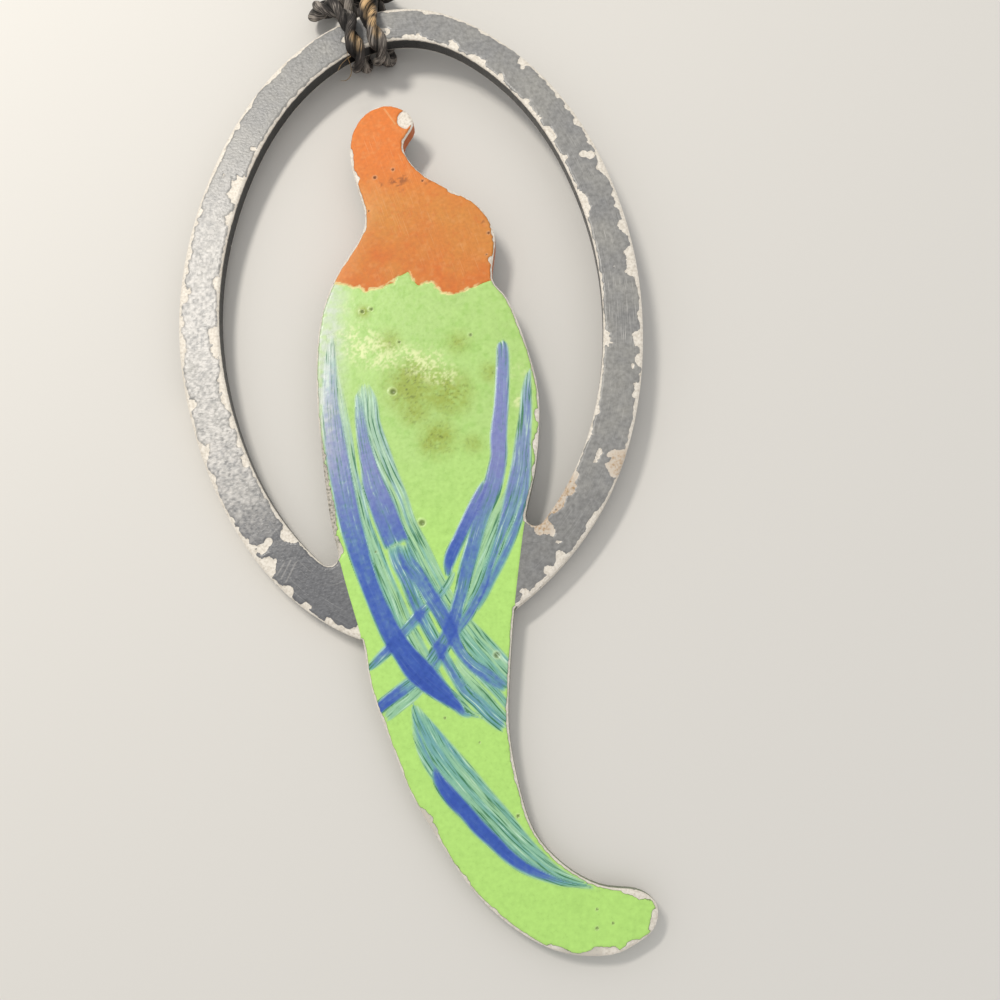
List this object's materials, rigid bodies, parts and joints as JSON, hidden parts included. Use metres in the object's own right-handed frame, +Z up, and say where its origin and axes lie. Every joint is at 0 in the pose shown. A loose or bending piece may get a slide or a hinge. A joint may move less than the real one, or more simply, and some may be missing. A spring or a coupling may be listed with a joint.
{
  "type": "painted metal bird ornament",
  "caption": "Flat metal ornament of a painted bird perched in an oval ring, pierced through beside the bird, with a cord hitched round the ring's top for hanging.",
  "frame": {"origin": "on the table below the middle of the ornament, its hitch included and its free cord left out", "axes": "+X to the right as the ornament is looked at, +Y towards the ring's top, where the cord is hitched, +Z up, out of the painted face"},
  "size_m": [0.0356, 0.1007, 0.005],
  "materials": {
    "bare_metal": "satin, worn and slightly discoloured",
    "black_enamel": "semi-gloss, worn",
    "orange_enamel": "semi-gloss",
    "green_enamel": "semi-gloss",
    "deep_blue_paint": "semi-gloss brushed",
    "blue_paint": "semi-gloss brushed",
    "teal_paint": "semi-gloss brushed",
    "waxed_cord": "waxed cotton, matt",
    "tie_band": "matt"
  },
  "bodies": {
    "ornament": {"pierced_plate": "bare_metal", "black_ring_coat": "black_enamel", "orange_head_coat": "orange_enamel", "green_body_coat": "green_enamel", "stroke_left_outer": "deep_blue_paint", "stroke_left_inner": "blue_paint", "stroke_left_low": "teal_paint", "stroke_right_inner": "deep_blue_paint", "stroke_right_outer": "blue_paint", "stroke_side_top": "teal_paint", "stroke_side_middle": "deep_blue_paint", "stroke_side_low": "teal_paint", "stroke_tail": "blue_paint"},
    "hitch": {"cord_hitch": "waxed_cord"},
    "cord": {"lower_strand": "waxed_cord", "upper_strand": "waxed_cord", "lower_coil": "waxed_cord", "upper_coil": "waxed_cord", "end_knot": "waxed_cord", "coil_tie": "tie_band"}
  },
  "joints": [
    {"name": "hitch_slide", "type": "hinge", "parent": "ornament", "child": "hitch", "pos_m": [-0.00104, 0.02429, 0.00234], "axis": [-0.0266, -0.0321, 0.9991], "range_deg": [-35, 20]},
    {"name": "cord_swing", "type": "hinge", "parent": "hitch", "child": "cord", "pos_m": [-0.00547, 0.03862, 0.00296], "axis": [0.9552, 0.2937, 0.0349], "range_deg": [-90, 90]}
  ]
}
